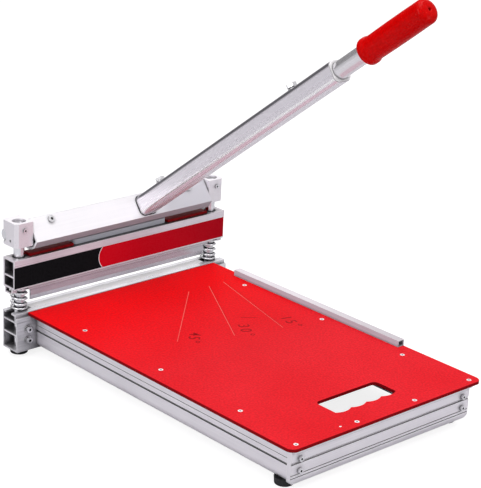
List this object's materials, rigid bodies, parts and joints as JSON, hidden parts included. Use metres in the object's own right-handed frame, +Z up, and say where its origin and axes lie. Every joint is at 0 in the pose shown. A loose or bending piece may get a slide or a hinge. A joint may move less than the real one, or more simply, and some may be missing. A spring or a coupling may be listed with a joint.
{
  "type": "flooring tile cutter",
  "caption": "Guillotine cutter for flooring tiles and planks: flat table with a fence, sprung blade beam on guide posts, cam lever with a telescoping handle.",
  "frame": {"origin": "on the ground under the middle of the whole cutter, between its near edge and the back of the lever hub", "axes": "+Z up, +X to the user's right along the blade, +Y away from the user, from the near end of the table towards the blade"},
  "size_m": [0.4004, 0.6085, 0.6],
  "materials": {
    "red_paint": "smooth semi-gloss powder coat",
    "extruded_aluminium": "satin, drawn along the section",
    "machined_aluminium": "fine satin",
    "polished_steel": "bright ground and polished",
    "spring_steel": "bright drawn wire",
    "zinc_plate": "bright zinc plate",
    "blade_steel": "ground",
    "white_nylon": "smooth matt",
    "red_nylon": "smooth matt",
    "pale_bar": "smooth satin",
    "label_face": "glossy printed film, black and red",
    "grip_red": "glossy dipped vinyl",
    "black_rubber": "matt",
    "black_polymer": "smooth matt bearing plastic"
  },
  "bodies": {
    "base": {"table_plate": "red_paint", "table_screws": "zinc_plate", "near_rail": "extruded_aluminium", "rail_end_screws": "zinc_plate", "lower_beam": "extruded_aluminium", "post_clamp_bolts": "zinc_plate", "beam_rail_screws": "zinc_plate", "anvil_strip": "white_nylon", "side_rail_left": "extruded_aluminium", "side_rail_right": "extruded_aluminium", "guide_post_left": "polished_steel", "guide_post_right": "polished_steel", "spring_left": "spring_steel", "spring_right": "spring_steel", "post_block_left": "machined_aluminium", "post_block_right": "machined_aluminium", "block_screws": "zinc_plate", "block_set_screws": "zinc_plate", "lever_shaft": "polished_steel", "fence_tube": "extruded_aluminium", "fence_rivets": "zinc_plate", "foot_beam_left": "black_rubber", "foot_near_left": "black_rubber", "foot_beam_right": "black_rubber", "foot_near_right": "black_rubber", "foot_screws": "zinc_plate"},
    "blade_beam": {"upper_beam": "extruded_aluminium", "guide_bushings": "black_polymer", "blade": "blade_steel", "blade_clamp": "machined_aluminium", "blade_screws": "zinc_plate", "label_plate": "label_face", "pressure_bar": "pale_bar", "pressure_bar_screws": "zinc_plate", "wear_strips": "red_nylon"},
    "lever": {"lever_bar": "extruded_aluminium", "lever_face_bolts": "zinc_plate", "socket_screws": "zinc_plate", "lever_bushes": "black_polymer", "outer_tube": "extruded_aluminium", "clinch_nuts": "zinc_plate", "handle_socket": "machined_aluminium", "handle_clamp_bolt": "zinc_plate", "tube_end_bush": "white_nylon"},
    "handle_extension": {"inner_tube": "polished_steel", "inner_tube_plug": "white_nylon", "handle_grip": "grip_red"},
    "lock_bolt": {"lock_bolt": "zinc_plate"}
  },
  "joints": [
    {"name": "lever_hinge", "type": "hinge", "parent": "base", "child": "lever", "pos_m": [0, 0.28925, 0.179], "axis": [1, 0, 0], "range_deg": [0, 33.7]},
    {"name": "blade_slide", "type": "slide", "parent": "base", "child": "blade_beam", "axis": [0, 0, -1], "range_m": [0, 0.0109], "stiffness_N_per_m": 31000, "springref_m": -0.007, "deforming": ["spring_left", "spring_right"]},
    {"name": "handle_telescope", "type": "slide", "parent": "lever", "child": "handle_extension", "axis": [0, -0.8007, 0.599], "range_m": [-0.055, 0.12]},
    {"name": "lock_bolt_turn", "type": "hinge", "parent": "lever", "child": "lock_bolt", "pos_m": [0.042, -0.05555, 0.42258], "axis": [0, 0.599, 0.8007], "range_deg": [0, 360]}
  ],
  "couplings": [
    {"joint": "blade_slide", "follows": "lever_hinge", "m_per_rad": 0.0185}
  ]
}
